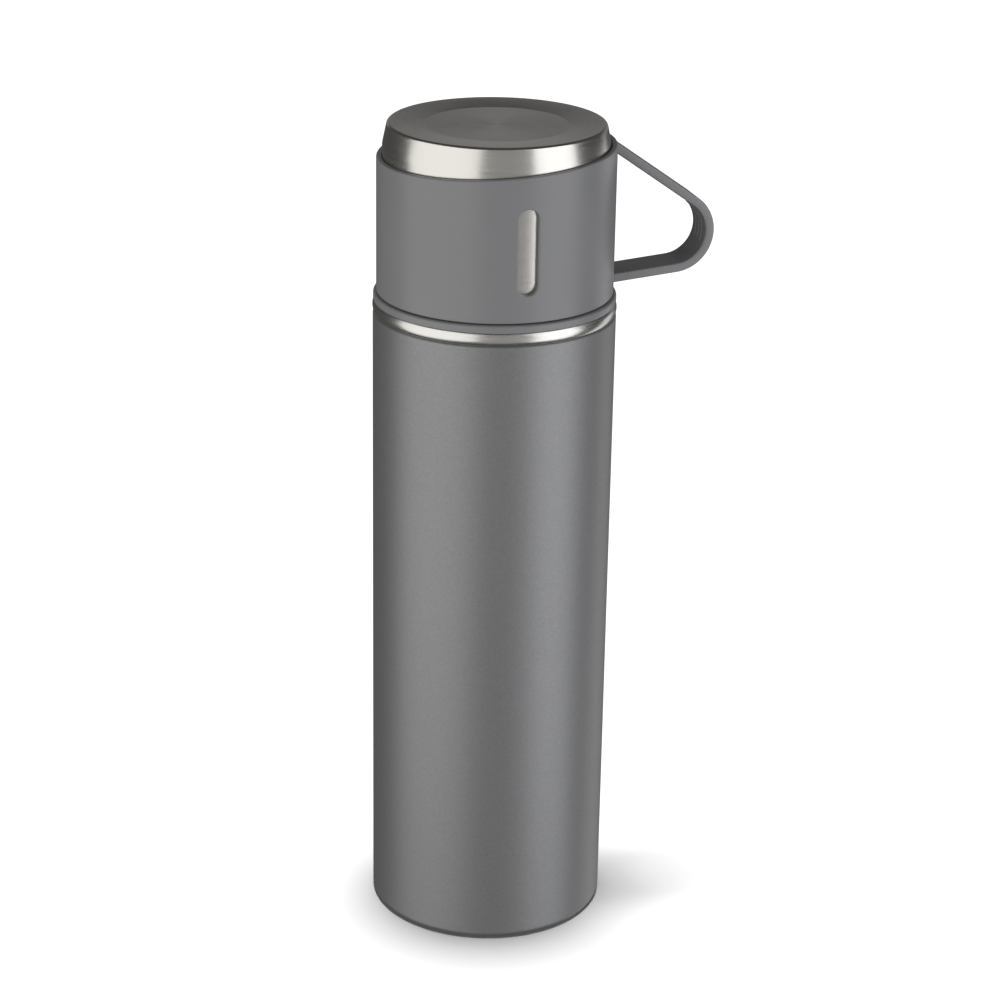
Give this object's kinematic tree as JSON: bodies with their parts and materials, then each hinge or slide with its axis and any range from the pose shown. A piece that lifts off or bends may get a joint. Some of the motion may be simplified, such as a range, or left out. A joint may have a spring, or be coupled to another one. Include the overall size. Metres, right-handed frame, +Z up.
{
  "type": "vacuum flask",
  "caption": "Straight-sided steel vacuum flask with a push-button stopper and a screw-on cup whose grey sleeve carries a looped strap handle and a slim window.",
  "frame": {"origin": "on the flask's axis, in the plane of the ring it stands on", "axes": "+Z up along the flask's axis, +X towards the cup's handle, -Y towards the window in the cup's sleeve"},
  "size_m": [0.0991, 0.0702, 0.242],
  "materials": {
    "body_paint": "satin",
    "base_steel": "satin",
    "liner_steel": "electropolished",
    "band_steel": "polished",
    "cup_steel": "brushed",
    "spring_steel": "drawn wire",
    "foil": "bright foil",
    "getter_metal": "sintered",
    "solder": "tin solder",
    "grey_plastic": "fine moulded",
    "dark_plastic": "moulded",
    "button_plastic": "moulded",
    "silicone": "matte silicone"
  },
  "bodies": {
    "flask": {"outer_shell": "body_paint", "outer_base": "base_steel", "vacuum_plug": "solder", "getter_clip": "getter_metal", "getter": "getter_metal", "liner_base": "liner_steel", "inner_liner": "liner_steel", "foil_wrap": "foil", "trim_band": "band_steel", "neck_collar": "grey_plastic", "collar_gasket": "silicone"},
    "cup_carrier": {"cup_gasket": "silicone"},
    "cup": {"steel_cup": "cup_steel", "cup_sleeve": "grey_plastic", "cup_thread_ring": "dark_plastic"},
    "stopper_carrier": {"stopper_gasket": "silicone"},
    "stopper": {"stopper_body": "dark_plastic", "stopper_cover": "dark_plastic", "valve_seat": "dark_plastic", "stem_ring": "silicone", "button_spring": "spring_steel"},
    "button": {"push_button": "button_plastic", "valve_stem": "button_plastic", "valve_plug": "button_plastic", "valve_seal": "silicone"}
  },
  "joints": [
    {"name": "cup_rise", "type": "slide", "parent": "flask", "child": "cup_carrier", "axis": [0, 0, 1], "range_m": [0, 0.0281]},
    {"name": "cup_unscrew", "type": "hinge", "parent": "cup_carrier", "child": "cup", "pos_m": [0, 0, 0.2], "axis": [0, 0, 1], "range_deg": [0, 840]},
    {"name": "stopper_rise", "type": "slide", "parent": "flask", "child": "stopper_carrier", "axis": [0, 0, 1], "range_m": [0, 0.0201]},
    {"name": "stopper_unscrew", "type": "hinge", "parent": "stopper_carrier", "child": "stopper", "pos_m": [0, 0, 0.2], "axis": [0, 0, 1], "range_deg": [0, 800]},
    {"name": "button_press", "type": "slide", "parent": "stopper", "child": "button", "axis": [0, 0, -1], "range_m": [0, 0.0025], "stiffness_N_per_m": 700, "springref_m": -0.003, "deforming": ["button_spring"]}
  ],
  "couplings": [
    {"joint": "cup_rise", "follows": "cup_unscrew", "m_per_rad": 0.0019099},
    {"joint": "stopper_rise", "follows": "stopper_unscrew", "m_per_rad": 0.0014324}
  ]
}
